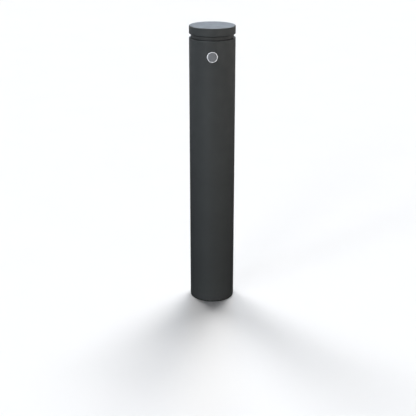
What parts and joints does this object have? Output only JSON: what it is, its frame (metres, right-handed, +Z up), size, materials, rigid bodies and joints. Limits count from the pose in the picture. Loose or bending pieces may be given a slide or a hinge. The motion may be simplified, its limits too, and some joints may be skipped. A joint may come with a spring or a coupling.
{
  "type": "safety bollard",
  "caption": "Fixed steel street bollard: a round powder-coated sleeve over a bolted-down core post, with a flat solid head above a recessed shadow gap.",
  "frame": {"origin": "on the ground at the middle of the foot, on the axis of the post", "axes": "+Z up along the post, -Y towards the front with the badge, +X to the right seen from the front"},
  "size_m": [0.159, 0.1608, 1],
  "materials": {
    "powder_coat": "satin anthracite grey powder coat with a fine texture",
    "galvanised_steel": "matt hot-dip galvanised",
    "zinc_plated_steel": "bright zinc plated",
    "stainless_steel": "plain stainless",
    "rubber": "matt black",
    "spacer_plastic": "matt moulded",
    "badge_metal": "satin anodised",
    "adhesive_foam": "closed-cell foam tape"
  },
  "bodies": {
    "root": {"base_plate": "galvanised_steel", "core_tube": "galvanised_steel", "gusset_ribs": "galvanised_steel", "core_cap_plate": "galvanised_steel", "threaded_bush": "zinc_plated_steel", "mid_collar": "galvanised_steel", "upper_collar": "galvanised_steel", "mid_spacer": "spacer_plastic", "upper_spacer": "spacer_plastic", "foot_ring": "rubber", "sleeve_tube": "powder_coat", "clamp_plate": "galvanised_steel", "seat_lugs": "galvanised_steel", "buffer_pad": "rubber", "hold_down_washer": "zinc_plated_steel", "spring_washer": "zinc_plated_steel", "hold_down_bolt": "zinc_plated_steel", "head_neck": "powder_coat", "seal_ring": "rubber", "head_gasket": "rubber", "head_disc": "powder_coat", "head_screw_washers": "stainless_steel", "head_screws": "stainless_steel", "set_screws": "stainless_steel", "badge_pad": "adhesive_foam", "badge_plate": "badge_metal"}
  },
  "joints": []
}
